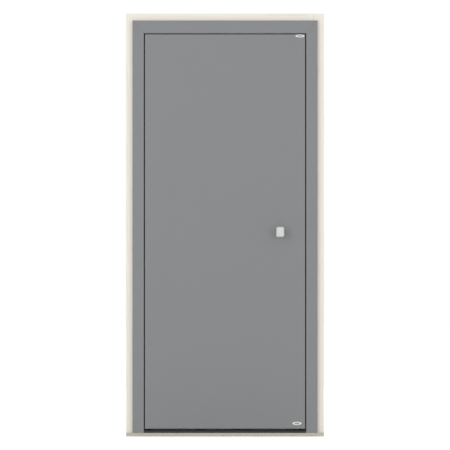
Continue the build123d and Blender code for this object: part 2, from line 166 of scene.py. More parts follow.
def makeTimberGrain():
    # lamellas side by side along X with their grain along Z, each cut from its own place in a trunk:
    # yearly rings round a far centre, fibres, short pores and the glue lines between
    shape = timberGrainShape
    sizes = {"Ring Spacing": 0.006, "Drift": 0.02, "Lamella Width": 0.12}
    tree, given, out = newEffect("timberGrain", sizes, ["Rings", "Fibres", "Pores", "Glue Lines"])
    width = given["Lamella Width"]
    place = partsOf(tree, given["Vector"])
    count = math2(tree, "DIVIDE", place["X"], width)
    number = math2(tree, "FLOOR", count)
    offMiddle = math2(tree, "SUBTRACT", math2(tree, "SUBTRACT", count, number), 0.5)
    inside = math2(tree, "SUBTRACT", 0.5, math2(tree, "ABSOLUTE", offMiddle))
    within = joinedVector(tree, times(tree, offMiddle, width), place["Y"], place["Z"])
    own = addNode(tree, "ShaderNodeTexWhiteNoise", {"W": number}, noise_dimensions="1D").outputs["Color"]
    cut = vectorMath(tree, "ADD", within, scaled(tree, own, shape["trunkSpread"]))
    slow = noise(tree, scaled(tree, cut, shape["driftScale"]), output="Color")
    inputs = {0: vectorMath(tree, "SUBTRACT", slow, (0.5, 0.5, 0.5)), "Scale": given["Drift"]}
    shift = addNode(tree, "ShaderNodeVectorMath", inputs, operation="SCALE").outputs[0]
    moved = vectorMath(tree, "ADD", cut, shift)
    fromHeart = vectorMath(tree, "MULTIPLY_ADD", moved, shape["trunkTaper"], shape["trunkMiddle"])
    age = math2(tree, "DIVIDE", lengthOf(tree, fromHeart), given["Ring Spacing"])
    years = noiseAlong(tree, age, shape["yearScale"], shape["yearDetail"])
    phase = math2(tree, "FRACT", math2(tree, "MULTIPLY_ADD", years, shape["yearSpread"], age))
    rise = between(tree, phase, *shape["earlyWood"])
    fall = between(tree, phase, *shape["lateWoodEnd"], 1.0, 0.0)
    pores = noise(tree, scaled(tree, cut, shape["poreScale"]), detail=shape["poreDetail"])
    linkAll(tree, {
        "Rings": times(tree, rise, fall),
        "Fibres": noise(tree, scaled(tree, cut, shape["fibreScale"]), detail=shape["fibreDetail"]),
        "Pores": between(tree, pores, *shape["poreBand"]),
        "Glue Lines": between(tree, times(tree, inside, width), *shape["glueLine"], 1.0, 0.0),
    }, out)
    return tree


coatPeelShape = {
    "speckFineness": 2.3,
    "speckDetail": 1.0,
    "speckBand": (0.35, 0.7),
}


def makeCoatPeel():
    # the fine skin of a sprayed or baked coat
    shape = coatPeelShape
    tree, given, out = newEffect("coatPeel", {"Grain": 0.0011}, ["Height", "Speck"])
    fineness = perMetre(tree, given["Grain"])
    finer = times(tree, fineness, shape["speckFineness"])
    specks = noise(tree, given["Vector"], finer, shape["speckDetail"])
    linkAll(tree, {
        "Height": noise(tree, given["Vector"], fineness),
        "Speck": between(tree, specks, *shape["speckBand"]),
    }, out)
    return tree


brushLinesShape = {
    "lineStretch": (1, 1, 0.012),
    "streakStretch": (1, 1, 0.03),
    "streakFineness": 0.16,
    "streakBand": (0.3, 0.7),
}


def makeBrushLines():
    # lines left by brushing along Z
    shape = brushLinesShape
    tree, given, out = newEffect("brushLines", {"Line Width": 0.0006}, ["Lines", "Streaks"])
    fineness = perMetre(tree, given["Line Width"])
    coarser = times(tree, fineness, shape["streakFineness"])
    streaks = noise(tree, scaled(tree, given["Vector"], shape["streakStretch"]), coarser)
    linkAll(tree, {
        "Lines": noise(tree, scaled(tree, given["Vector"], shape["lineStretch"]), fineness),
        "Streaks": between(tree, streaks, *shape["streakBand"]),
    }, out)
    return tree


turnedLinesShape = {
    "lineDetail": 1.0,
    "streaksPerMetre": 60.0,
}


def makeTurnedLines():
    # rings left by a lathe, round the Y axis
    shape = turnedLinesShape
    tree, given, out = newEffect("turnedLines", {"Line Width": 0.0005}, ["Lines", "Streaks"])
    radius = lengthOf(tree, scaled(tree, given["Vector"], (1, 0, 1)))
    count = math2(tree, "DIVIDE", radius, given["Line Width"])
    linkAll(tree, {
        "Lines": noiseAlong(tree, count, 1.0, shape["lineDetail"]),
        "Streaks": noise(tree, given["Vector"], shape["streaksPerMetre"]),
    }, out)
    return tree


doorstepDustShape = {
    "patchStretch": (1, 1, 0.6),
    "patchNoise": (34.0, 5.0, 0.6),     # per metre, detail, roughness
    "patchBand": (0.3, 0.75),
}


def makeDoorstepDust():
    # a thin film of dust that thins out upwards from the ground
    shape = doorstepDustShape
    tree, given, out = newEffect("doorstepDust", {"Height": 0.35, "Amount": 0.3}, ["Dust"])
    level = math2(tree, "DIVIDE", partsOf(tree, given["Vector"])["Z"], given["Height"])
    low = math2(tree, "SUBTRACT", 1.0, level, clamp=True)
    patches = noise(tree, scaled(tree, given["Vector"], shape["patchStretch"]), *shape["patchNoise"])
    spread = times(tree, times(tree, low, low), between(tree, patches, *shape["patchBand"]))
    linkAll(tree, {"Dust": math2(tree, "MULTIPLY", spread, given["Amount"], clamp=True)}, out)
    return tree


touchMarksShape = {
    "detail": 4.0,
    "roughness": 0.6,
    "band": (0.3, 0.7),
}


def makeTouchMarks():
    # broad soft marks from wiping and from hands
    shape = touchMarksShape
    tree, given, out = newEffect("touchMarks", {"Size": 0.08}, ["Marks"])
    fineness = perMetre(tree, given["Size"])
    marks = noise(tree, given["Vector"], fineness, shape["detail"], shape["roughness"])
    linkAll(tree, {"Marks": between(tree, marks, *shape["band"])}, out)
    return tree


footScuffsShape = {
    "turns": (0.35, -0.8),
    "strokeStretch": (22, 1, 6),
    "strokeBand": (0.6, 0.72),
    "patchFineness": 0.35,
    "patchBand": (0.48, 0.66),
}


def makeFootScuffs():
    # short scrapes in two directions that shoes leave on what is stepped on
    shape = footScuffsShape
    tree, given, out = newEffect("footScuffs", {"Length": 0.03}, ["Scuffs"])
    fineness = perMetre(tree, given["Length"])
    scrapes = []
    for turn in shape["turns"]:
        laid = turned(tree, given["Vector"], (0, 0, turn))
        strokes = noise(tree, scaled(tree, laid, shape["strokeStretch"]), fineness)
        patches = noise(tree, laid, times(tree, fineness, shape["patchFineness"]))
        strokes = between(tree, strokes, *shape["strokeBand"])
        scrapes.append(times(tree, strokes, between(tree, patches, *shape["patchBand"])))
    linkAll(tree, {"Scuffs": math2(tree, "MAXIMUM", *scrapes)}, out)
    return tree


effects = {
    "timberGrain": makeTimberGrain(),
    "coatPeel": makeCoatPeel(),
    "brushLines": makeBrushLines(),
    "turnedLines": makeTurnedLines(),
    "doorstepDust": makeDoorstepDust(),
    "touchMarks": makeTouchMarks(),
    "footScuffs": makeFootScuffs(),
}
print("shared effects:", ", ".join(effects))


# materials

def newMaterial(name, settings):
    made = bpy.data.materials.new(name)
    made.use_nodes = True
    tree = made.node_tree
    shader = tree.nodes["Principled BSDF"]
    for key, value in settings.items():
        shader.inputs[key].default_value = value
    where = tree.nodes.new("ShaderNodeTexCoord").outputs["Object"]
    return made, tree, shader, where


def useEffect(tree, name, where, sizes):
    made = tree.nodes.new("ShaderNodeGroup")
    made.node_tree = effects[name]
    for key, value in {"Vector": where, **sizes}.items():
        plug(tree, value, made.inputs[key])
    return made.outputs


def bump(tree, height, distance, normal=None):
    made = addNode(tree, "ShaderNodeBump", {"Height": height, "Distance": distance})
    if normal is not None:
        tree.links.new(normal, made.inputs["Normal"])
    return made.outputs[0]


def dress(tree, shader, colour, roughness, normal):
    linkAll(tree, {"Base Color": colour, "Roughness": roughness, "Normal": normal}, shader.inputs)


layAlongX = (0, math.pi / 2, 0)     # turns an effect that runs along Z

coatedGreyLook = {
    "colour": srgb(131, 132, 134),
    "flake": srgb(139, 140, 142),
    "flakeShare": 0.5,
    "peel": {"Grain": 0.0011},
    "peelDepth": 0.00006,
    "marks": {"Size": 0.22},
    "dust": {"Height": 0.28, "Amount": 0.2},
    "dustColour": srgb(150, 147, 140),
    "dustRoughness": 0.4,
    "mitre": srgb(70, 71, 72),
    "mitreHalfWidth": 0.0003,
    "mitreFade": (0.6, 1.4),            # shares of the half width
    "mitreDepth": 0.0003,
    "roughness": (0.46, 0.56),
    "shader": {"Specular IOR Level": 0.22},
}


def mitreLine(tree, where):
    # the hairline where the shells of jamb and head meet, on both corners alike
    jambLow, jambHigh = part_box("lock_jamb_cladding")
    headLow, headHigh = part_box("head_cladding")
    run = Vector((jambHigh.x - jambLow.x, headHigh.z - headLow.z)).normalized()
    place = partsOf(tree, where)
    across = math2(tree, "SUBTRACT", math2(tree, "ABSOLUTE", place["X"]), jambLow.x)
    above = math2(tree, "SUBTRACT", place["Z"], headLow.z)
    off = math2(tree, "MULTIPLY_ADD", across, run.y, times(tree, above, -run.x))
    near, far = (share * coatedGreyLook["mitreHalfWidth"] for share in coatedGreyLook["mitreFade"])
    return between(tree, math2(tree, "ABSOLUTE", off), near, far, 1.0, 0.0)


def coatedGrey(name, mitred):
    look = coatedGreyLook
    made, tree, shader, where = newMaterial(name, look["shader"])
    peel = useEffect(tree, "coatPeel", where, look["peel"])
    marks = useEffect(tree, "touchMarks", where, look["marks"])["Marks"]
    dust = useEffect(tree, "doorstepDust", where, look["dust"])["Dust"]
    flakes = times(tree, peel["Speck"], look["flakeShare"])
    colour = blendColour(tree, flakes, look["colour"], look["flake"])
    colour = blendColour(tree, dust, colour, look["dustColour"])
    normal = bump(tree, peel["Height"], look["peelDepth"])
    if mitred:
        line = mitreLine(tree, where)
        colour = blendColour(tree, line, colour, look["mitre"])
        normal = bump(tree, math2(tree, "SUBTRACT", 1.0, line), look["mitreDepth"], normal)
    clean = between(tree, marks, 0, 1, *look["roughness"])
    roughness = math2(tree, "ADD", clean, times(tree, dust, look["dustRoughness"]))
    dress(tree, shader, colour, roughness, normal)
    return made


creamTimberLook = {
    "colour": srgb(238, 233, 223),
    "lateWood": srgb(230, 224, 211),
    "pore": srgb(214, 204, 187),
    "poreShare": 0.5,
    "glueLine": srgb(208, 199, 182),
    "glueShare": 0.45,
    "grain": {"Ring Spacing": 0.0055, "Drift": 0.03, "Lamella Width": 0.123},
    "fibreBand": (0.25, 0.75, 0.45, 1.0),
    "fibreRelief": 0.35,
    "grainDepth": 0.00007,
    "peel": {"Grain": 0.002},
    "peelDepth": 0.00005,
    "marks": {"Size": 0.15},
    "roughness": (0.36, 0.48),
    "shader": {"Specular IOR Level": 0.4},
}


def creamTimber(name, lay=(0, 0, 0)):
    look = creamTimberLook
    made, tree, shader, where = newMaterial(name, look["shader"])
    grain = useEffect(tree, "timberGrain", turned(tree, where, lay), look["grain"])
    marks = useEffect(tree, "touchMarks", where, look["marks"])["Marks"]
    peel = useEffect(tree, "coatPeel", where, look["peel"])
    rings = times(tree, grain["Rings"], between(tree, grain["Fibres"], *look["fibreBand"]))
    colour = blendColour(tree, rings, look["colour"], look["lateWood"])
    pores = times(tree, grain["Pores"], look["poreShare"])
    colour = blendColour(tree, pores, colour, look["pore"])
    seams = times(tree, grain["Glue Lines"], look["glueShare"])
    colour = blendColour(tree, seams, colour, look["glueLine"])
    relief = math2(tree, "SUBTRACT", times(tree, grain["Fibres"], look["fibreRelief"]), grain["Pores"])
    relief = math2(tree, "SUBTRACT", relief, grain["Glue Lines"])
    normal = bump(tree, relief, look["grainDepth"], bump(tree, peel["Height"], look["peelDepth"]))
    dress(tree, shader, colour, between(tree, marks, 0, 1, *look["roughness"]), normal)
    return made


darkThresholdLook = {
    "colour": srgb(40, 40, 41),
    "streak": srgb(47, 47, 48),
    "streakShare": 0.6,
    "lines": {"Line Width": 0.0007},
    "lineDepth": 0.00004,
    "scuff": srgb(86, 86, 86),
    "scuffs": {"Length": 0.035},
    "scuffShare": 0.5,
    "dust": {"Height": 0.06, "Amount": 0.07},
    "dustColour": srgb(104, 99, 91),
    "marks": {"Size": 0.05},
    "roughness": (0.42, 0.55),
    "shader": {"Specular IOR Level": 0.3},
}


def darkThreshold():
    look = darkThresholdLook
    made, tree, shader, where = newMaterial("darkThreshold", look["shader"])
    lines = useEffect(tree, "brushLines", turned(tree, where, layAlongX), look["lines"])
    dust = useEffect(tree, "doorstepDust", where, look["dust"])["Dust"]
    marks = useEffect(tree, "touchMarks", where, look["marks"])["Marks"]
    scuffs = useEffect(tree, "footScuffs", where, look["scuffs"])["Scuffs"]
    streaks = times(tree, lines["Streaks"], look["streakShare"])
    colour = blendColour(tree, streaks, look["colour"], look["streak"])
    colour = blendColour(tree, times(tree, scuffs, look["scuffShare"]), colour, look["scuff"])
    colour = blendColour(tree, dust, colour, look["dustColour"])
    normal = bump(tree, math2(tree, "SUBTRACT", lines["Lines"], scuffs), look["lineDepth"])
    dress(tree, shader, colour, between(tree, marks, 0, 1, *look["roughness"]), normal)
    return made


sandStoneLook = {
    "colour": srgb(188, 182, 169),
    "grainSize": 0.0035,
    "paleGrain": srgb(206, 200, 187),
    "paleBand": (0.6, 0.95),
    "paleShare": 0.7,
    "darkGrain": srgb(158, 150, 136),
    "darkBand": (0.22, 0.02, 0.0, 0.6),
    "cloudNoise": (18.0, 5.0, 0.6),     # per metre, detail, roughness
    "cloudBand": (0.52, 0.75, 0.0, 0.25),
    "scuffs": {"Length": 0.06},
    "scuffShare": 0.25,
    "pitFineness": 0.7,
    "pitNoise": (4.0, 0.6),             # detail, roughness
    "pitDepth": 0.0004,
    "roughness": (0.62, 0.85),
    "shader": {"Specular IOR Level": 0.25},
}


def sandStone():
    look = sandStoneLook
    made, tree, shader, where = newMaterial("sandStone", look["shader"])
    fineness = 1 / look["grainSize"]
    cells = addNode(tree, "ShaderNodeTexVoronoi", {"Vector": where, "Scale": fineness})
    tone = addNode(tree, "ShaderNodeSeparateColor", {0: cells.outputs["Color"]}).outputs[0]
    clouds = between(tree, noise(tree, where, *look["cloudNoise"]), *look["cloudBand"])
    scuffs = useEffect(tree, "footScuffs", where, look["scuffs"])["Scuffs"]
    pale = times(tree, between(tree, tone, *look["paleBand"]), look["paleShare"])
    dark = math2(tree, "ADD", between(tree, tone, *look["darkBand"]), clouds)
    colour = blendColour(tree, pale, look["colour"], look["paleGrain"])
    colour = blendColour(tree, dark, colour, look["darkGrain"])
    colour = blendColour(tree, times(tree, scuffs, look["scuffShare"]), colour, look["darkGrain"])
    roughness = between(tree, tone, 0, 1, *look["roughness"])
    pits = noise(tree, where, fineness * look["pitFineness"], *look["pitNoise"])
    dress(tree, shader, colour, roughness, bump(tree, pits, look["pitDepth"]))
    return made


sealRubberLook = {
    "colour": srgb(32, 32, 33),
    "bloom": srgb(58, 58, 57),
    "bloomShare": 0.45,
    "marks": {"Size": 0.03},
    "peel": {"Grain": 0.0008},
    "peelDepth": 0.00005,
    "roughness": (0.6, 0.8),
    "shader": {"Specular IOR Level": 0.3},
}


def sealRubber():
    look = sealRubberLook
    made, tree, shader, where = newMaterial("sealRubber", look["shader"])
    peel = useEffect(tree, "coatPeel", where, look["peel"])
    bloom = useEffect(tree, "touchMarks", where, look["marks"])["Marks"]
    colour = blendColour(tree, times(tree, bloom, look["bloomShare"]), look["colour"], look["bloom"])
    roughness = between(tree, bloom, 0, 1, *look["roughness"])
    dress(tree, shader, colour, roughness, bump(tree, peel["Height"], look["peelDepth"]))
    return made


breakPlasticLook = {
    "colour": srgb(40, 40, 42),
    "fibre": srgb(66, 66, 66),
    "fibreBand": (0.5, 0.8, 0.0, 0.6),
    "lines": {"Line Width": 0.0012},
    "lineDepth": 0.00005,
    "roughness": (0.55, 0.7),
    "shader": {"Specular IOR Level": 0.35},
}


def breakPlastic():
    look = breakPlasticLook
    made, tree, shader, where = newMaterial("breakPlastic", look["shader"])
    lines = useEffect(tree, "brushLines", turned(tree, where, layAlongX), look["lines"])
    fibres = between(tree, lines["Lines"], *look["fibreBand"])
    colour = blendColour(tree, fibres, look["colour"], look["fibre"])
    roughness = between(tree, lines["Streaks"], 0, 1, *look["roughness"])
    dress(tree, shader, colour, roughness, bump(tree, lines["Lines"], look["lineDepth"]))
    return made


woodFibreLook = {
    "colour": srgb(176, 148, 110),
    "strand": srgb(140, 112, 78),
    "strandScale": (300, 900, 300),
    "strandNoise": (1.0, 5.0, 0.65),    # scale, detail, roughness
    "strandBand": (0.4, 0.7),
    "strandDepth": 0.0004,
    "roughness": (0.3, 0.7, 0.8, 0.95),
    "shader": {"Specular IOR Level": 0.2},
}


def woodFibre():
    look = woodFibreLook
    made, tree, shader, where = newMaterial("woodFibre", look["shader"])
    strands = noise(tree, scaled(tree, where, look["strandScale"]), *look["strandNoise"])
    colour = blendColour(tree, between(tree, strands, *look["strandBand"]), look["colour"], look["strand"])
    roughness = between(tree, strands, *look["roughness"])
    dress(tree, shader, colour, roughness, bump(tree, strands, look["strandDepth"]))
    return made


steelWork = {
    "lines": {"Line Width": 0.0005},
    "lineDepth": 0.00002,
    "lineShare": 0.5,
    "marks": {"Size": 0.03},
    "shader": {"Metallic": 1.0},
}
satinSteelLook = {
    "colour": srgb(184, 184, 183),
    "shade": srgb(158, 158, 158),
    "roughness": (0.26, 0.38),
}
paleSteelLook = {
    "colour": srgb(212, 212, 210),
    "shade": srgb(190, 190, 189),
    "roughness": (0.2, 0.32),
}
# the oval plates' rim: the same brushed steel painted paler, a painted highlight
plateRimPaintedHighlightLook = {
    "colour": srgb(242, 242, 240),
    "shade": srgb(226, 226, 225),
    "roughness": (0.24, 0.34),
}
# the oval plates' sunk middle: the same brushed steel painted darker, painted shade; the grub screws wear
# it too
plateMiddlePaintedShadeLook = {
    "colour": srgb(158, 158, 158),
    "shade": srgb(140, 141, 142),
    "roughness": (0.36, 0.46),
}


def satinSteel(name, lines, lay=(0, 0, 0), centre=(0, 0, 0), look=satinSteelLook):
    made, tree, shader, where = newMaterial(name, steelWork["shader"])
    shifted = turned(tree, where, location=[-value for value in centre])
    worked = useEffect(tree, lines, turned(tree, shifted, lay), steelWork["lines"])
    marks = useEffect(tree, "touchMarks", where, steelWork["marks"])["Marks"]
    both = math2(tree, "ADD", worked["Streaks"], worked["Lines"])
    colour = blendColour(tree, times(tree, both, steelWork["lineShare"]), look["colour"], look["shade"])
    roughness = between(tree, marks, 0, 1, *look["roughness"])
    dress(tree, shader, colour, roughness, bump(tree, worked["Lines"], steelWork["lineDepth"]))
    return made


capPlasticLook = {
    "colour": srgb(224, 220, 209),
    "shade": srgb(212, 206, 192),
    "marks": {"Size": 0.01},
    "peel": {"Grain": 0.0007},
    "peelDepth": 0.00003,
    "roughness": (0.4, 0.55),
    "shader": {"Specular IOR Level": 0.45},
}


def capPlastic():
    look = capPlasticLook
    made, tree, shader, where = newMaterial("capPlastic", look["shader"])
    peel = useEffect(tree, "coatPeel", where, look["peel"])
    marks = useEffect(tree, "touchMarks", where, look["marks"])["Marks"]
    colour = blendColour(tree, marks, look["colour"], look["shade"])
    roughness = between(tree, marks, 0, 1, *look["roughness"])
    dress(tree, shader, colour, roughness, bump(tree, peel["Height"], look["peelDepth"]))
    return made


def middleOf(node):
    low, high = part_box(node)
    return (low + high) / 2


finishes = {
    "coatedGrey": coatedGrey("coatedGreyLeaf", False),
    "mitredGrey": coatedGrey("coatedGreyShells", True),
    "timberUp": creamTimber("creamTimberUp"),
    "timberAcross": creamTimber("creamTimberAcross", layAlongX),
    "darkThreshold": darkThreshold(),
    "sandStone": sandStone(),
    "sealRubber": sealRubber(),
    "breakPlastic": breakPlastic(),
    "woodFibre": woodFibre(),
    "capPlastic": capPlastic(),
    "steelUp": satinSteel("satinSteelUp", "brushLines"),
    "steelAcross": satinSteel("satinSteelAcross", "brushLines", layAlongX),
    "leverRings": satinSteel("turnedSteelLever", "turnedLines", centre=middleOf("lever_rosette")),
    "turnRings": satinSteel("turnedSteelThumb", "turnedLines", centre=middleOf("thumb_turn_rosette")),
    "knobSteel": satinSteel("paleSteelKnob", "brushLines", look=paleSteelLook),
    # the plates' rim and middle are lit and shaded copies of one steel: painted highlight and painted
    # shade
    "plateRimPaintedHighlight": satinSteel("plateRimPaintedHighlight", "brushLines", layAlongX, look=plateRimPaintedHighlightLook),
    "plateMiddlePaintedShade": satinSteel("plateMiddlePaintedShade", "brushLines", layAlongX, look=plateMiddlePaintedShadeLook),
}
print("finishes:", len(finishes))

# which CAD nodes wear each finish; hardware that isn't named is steel brushed upwards
wearers = {
    "sandStone": ["sill_slab"],
    "darkThreshold": ["threshold_outer", "threshold_inner"],
    "breakPlastic": ["threshold_break"],
    "timberUp": ["hinge_jamb", "lock_jamb", "leaf_hinge_stile", "leaf_lock_stile", "leaf_inner_board"],
    "timberAcross": ["frame_head", "leaf_top_rail", "leaf_bottom_rail"],
    "mitredGrey": ["hinge_jamb_cladding", "lock_jamb_cladding", "head_cladding"],
    "coatedGrey": ["leaf_outer_panel"],
    "sealRubber": ["outer_seal", "inner_seal", "leaf_outer_seal", "leaf_bottom_seal"],
    "woodFibre": ["leaf_core"],
    "knobSteel": ["pull_knob", "knob_rosette"],
    "steelAcross": ["lever_handle"],
    "leverRings": ["lever_rosette"],
    "turnRings": ["thumb_turn_rosette"],
}
finishOf = {node: finish for finish, dressed in wearers.items() for node in dressed}
for name, node in nodes.items():
    node.data.materials.clear()
    node.data.materials.append(finishes[finishOf.get(name, "steelUp")])
print("CAD nodes dressed")


# Geometry Nodes: small turned heads set on points, each facing along its point's own direction

headDefaults = {"Sides": 24, "Seed": 3}


def newPointTree(name, sizes):
    tree = bpy.data.node_groups.new(name, "GeometryNodeTree")
    sockets = tree.interface
    sockets.new_socket("Points", in_out="INPUT", socket_type="NodeSocketGeometry")
    for label, value in sizes.items():
        sockets.new_socket(label, in_out="INPUT", socket_type="NodeSocketFloat").default_value = value
    for label, value in headDefaults.items():
        sockets.new_socket(label, in_out="INPUT", socket_type="NodeSocketInt").default_value = value
    sockets.new_socket("Finish", in_out="INPUT", socket_type="NodeSocketMaterial")
    sockets.new_socket("Heads", in_out="OUTPUT", socket_type="NodeSocketGeometry")
    return tree, tree.nodes.new("NodeGroupInput").outputs, tree.nodes.new("NodeGroupOutput").inputs


def nextRing(tree, mesh, top, rise, size):
    # one more ring of a turned shape: its top face is raised, and drawn in to a share of its size
    inputs = {"Mesh": mesh, "Selection": top, "Offset Scale": rise, "Individual": False}
    raised = addNode(tree, "GeometryNodeExtrudeMesh", inputs, mode="FACES").outputs
    inputs = {"Geometry": raised["Mesh"], "Selection": raised["Top"], "Scale": size}
    drawn = addNode(tree, "GeometryNodeScaleElements", inputs, domain="FACE")
    return drawn.outputs[0], raised["Top"]


def turnedHead(tree, given, radius, rings):
    # a ring is an input's name, the share of it that the ring rises by, and the ring's size
    inputs = {"Vertices": given["Sides"], "Radius": given[radius]}
    shape = addNode(tree, "GeometryNodeMeshCircle", inputs, fill_type="NGON").outputs[0]
    top = True
    for label, share, size in rings:
        shape, top = nextRing(tree, shape, top, times(tree, given[label], share), size)
    return shape, top


def setOnPoints(tree, given, out, head):
    facing = addNode(tree, "GeometryNodeInputNamedAttribute", {"Name": "facing"}, data_type="FLOAT_VECTOR")
    inputs = {"Vector": facing.outputs["Attribute"]}
    aligned = addNode(tree, "FunctionNodeAlignRotationToVector", inputs, axis="Z")
    inputs = {2: 0.0, 3: math.tau, "Seed": given["Seed"]}   # 2 and 3 are the least and most of a float
    spin = addNode(tree, "FunctionNodeRandomValue", inputs, data_type="FLOAT")
    inputs = {"Axis": (0, 0, 1), "Angle": spin.outputs[1]}
    about = addNode(tree, "FunctionNodeAxisAngleToRotation", inputs)
    inputs = {"Rotation": aligned.outputs[0], "Rotate By": about.outputs[0]}
    spun = addNode(tree, "FunctionNodeRotateRotation", inputs, rotation_space="LOCAL")
    inputs = {"Points": given["Points"], "Instance": head, "Rotation": spun.outputs[0]}
    placed = addNode(tree, "GeometryNodeInstanceOnPoints", inputs)
    real = addNode(tree, "GeometryNodeRealizeInstances", {"Geometry": placed.outputs[0]})
    inputs = {"Geometry": real.outputs[0], "Material": given["Finish"]}
    dressed = addNode(tree, "GeometryNodeSetMaterial", inputs)
    tree.links.new(dressed.outputs[0], out["Heads"])


screwShape = {
    "sizes": {"Head Radius": 0.0036, "Head Rise": 0.0013, "Drive Share": 0.5, "Drive Depth": 0.0009},
    "rings": (("Head Rise", 0.4, 0.97), ("Head Rise", 0.4, 0.86), ("Head Rise", 0.2, 0.84)),
    "driveTaper": 0.92,
    "lobes": 6.0,
    "lobeDepth": 0.16,
}


def lobed(tree, mesh, rim):
    # pushes the drive's rim in and out, once for each lobe
    parts = partsOf(tree, addNode(tree, "GeometryNodeInputPosition").outputs[0])
    angle = math2(tree, "ARCTAN2", parts["Y"], parts["X"])
    wave = math2(tree, "COSINE", times(tree, angle, screwShape["lobes"]))
    size = math2(tree, "ADD", times(tree, wave, screwShape["lobeDepth"]), 1.0)
    grown = joinedVector(tree, times(tree, parts["X"], size), times(tree, parts["Y"], size), parts["Z"])
    inputs = {"Geometry": mesh, "Selection": rim, "Position": grown}
    return addNode(tree, "GeometryNodeSetPosition", inputs).outputs[0]


def makeScrewTree():
    # a low round head with a six-lobed drive
    tree, given, out = newPointTree("screwHeads", screwShape["sizes"])
    shape, top = turnedHead(tree, given, "Head Radius", screwShape["rings"])
    shape, top = nextRing(tree, shape, top, 0.0, given["Drive Share"])
    shape = lobed(tree, shape, top)
    sink = times(tree, given["Drive Depth"], -1.0)
    shape, top = nextRing(tree, shape, top, sink, screwShape["driveTaper"])
    setOnPoints(tree, given, out, shape)
    return tree


capShape = {
    "sizes": {"Cap Radius": 0.0065, "Cap Height": 0.0012, "Dome": 0.0006},
    "rings": (("Cap Height", 0.7, 1.0), ("Cap Height", 0.3, 0.93),
              ("Dome", -0.6, 0.93), ("Dome", 0.7, 0.75), ("Dome", 0.3, 0.45)),
}


def makeCapTree():
    # a push-in cover with a thin rim and a shallow dome
    tree, given, out = newPointTree("coverCaps", capShape["sizes"])
    shape, top = turnedHead(tree, given, "Cap Radius", capShape["rings"])
    setOnPoints(tree, given, out, shape)
    return tree


ringShape = {"Middle Radius": 0.0077, "Ring Width": 0.0012, "Ring Height": 0.00044}


def makeRingTree():
    # a flat plastic ring that takes up the play between two knuckles
    tree, given, out = newPointTree("bearingRings", ringShape)
    inputs = {"Resolution": given["Sides"], "Radius": given["Middle Radius"]}
    line = addNode(tree, "GeometryNodeCurvePrimitiveCircle", inputs).outputs[0]
    inputs = {"Width": given["Ring Width"], "Height": given["Ring Height"]}
    section = addNode(tree, "GeometryNodeCurvePrimitiveQuadrilateral", inputs).outputs[0]
    ring = addNode(tree, "GeometryNodeCurveToMesh", {"Curve": line, "Profile Curve": section})
    setOnPoints(tree, given, out, ring.outputs[0])
    return tree


def headsOnPoints(name, tree, spots, values, finish):
    mesh = bpy.data.meshes.new(name + "Points")
    mesh.from_pydata([place for place, _ in spots], [], [])
    facing = mesh.attributes.new("facing", "FLOAT_VECTOR", "POINT")
    for index, (_, direction) in enumerate(spots):
        facing.data[index].vector = direction
    carrier = bpy.data.objects.new(name + "Carrier", mesh)
    bpy.context.scene.collection.objects.link(carrier)
    modifier = carrier.modifiers.new("heads", "NODES")
    modifier.node_group = tree
    sockets = {item.name: item.identifier for item in tree.interface.items_tree if item.in_out == "INPUT"}
    for key, value in {**values, "Finish": finish}.items():
        modifier[sockets[key]] = value
    bpy.context.view_layer.update()
    graph = bpy.context.evaluated_depsgraph_get()
    plain = bpy.data.meshes.new_from_object(carrier.evaluated_get(graph))
    carrier.modifiers.clear()
    bpy.data.objects.remove(carrier)
    return plain


def joined(name, meshes):
    # one plain piece of several meshes, with the materials that their faces wear
    whole = bmesh.new()
    worn = []
    for mesh in meshes:
        start = len(whole.faces)
        whole.from_mesh(mesh)
        whole.faces.ensure_lookup_table()
        for face in whole.faces[start:]:
            finish = mesh.materials[face.material_index]
            if finish not in worn:
                worn.append(finish)
            face.material_index = worn.index(finish)
            face.smooth = False
    bmesh.ops.recalc_face_normals(whole, faces=whole.faces)
    plain = bpy.data.meshes.new(name)
    whole.to_mesh(plain)
    whole.free()
    for finish in worn:
        plain.materials.append(finish)
    piece = bpy.data.objects.new(name, plain)
    bpy.context.scene.collection.objects.link(piece)
    return piece


facingIn = Vector((0, 1, 0))
facingUp = Vector((0, 0, 1))
facingDown = Vector((0, 0, -1))
facingLock = Vector((1, 0, 0))
facingHinge = Vector((-1, 0, 0))
hinges = ("bottom", "middle", "top")

screwLook = {
    "hingeInsets": (0.016, 0.007),
    "hingeSteps": (-0.042, -0.014, 0.014, 0.042),
    "wingPlate": 0.003,
    "plateEndInset": 0.013,
    "strikeScrews": 2,
    "faceplateScrews": 7,
    "thresholdScrews": 5,
    "thresholdEndInset": 0.06,
    "thresholdEdgeInset": 0.003,
    "smallHead": {"Head Radius": 0.0026, "Head Rise": 0.0011},
}


def evenly(first, last, count):
    return [first + (last - first) * index / (count - 1) for index in range(count)]


def wingSpots(node, edgeIsHigh):
    # two staggered columns of screws near the free edge of a hinge wing
    low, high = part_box(node)
    edge = high.x if edgeIsHigh else low.x
    inwards = -1 if edgeIsHigh else 1
    y = low.y + screwLook["wingPlate"]
    spots = []
    for index, step in enumerate(screwLook["hingeSteps"]):
        x = edge + inwards * screwLook["hingeInsets"][index % 2]
        spots.append((Vector((x, y, (low.z + high.z) / 2 + step)), facingIn))
    return spots


def edgePlateSpots(node, count, direction):
    low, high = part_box(node)
    x = high.x if direction.x > 0 else low.x
    y = (low.y + high.y) / 2
    inset = screwLook["plateEndInset"]
    return [(Vector((x, y, z)), direction) for z in evenly(low.z + inset, high.z - inset, count)]


def thresholdSpots():
    low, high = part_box("threshold_inner")
    y = low.y + screwLook["thresholdEdgeInset"]
    end = high.x - screwLook["thresholdEndInset"]
    return [(Vector((x, y, high.z)), facingUp) for x in evenly(-end, end, screwLook["thresholdScrews"])]


capLook = {
    "rebate": 0.48,
    "y": 0.012,
    "lowest": 0.22,
    "highest": 2.15,
    "onEachJamb": 4,
}


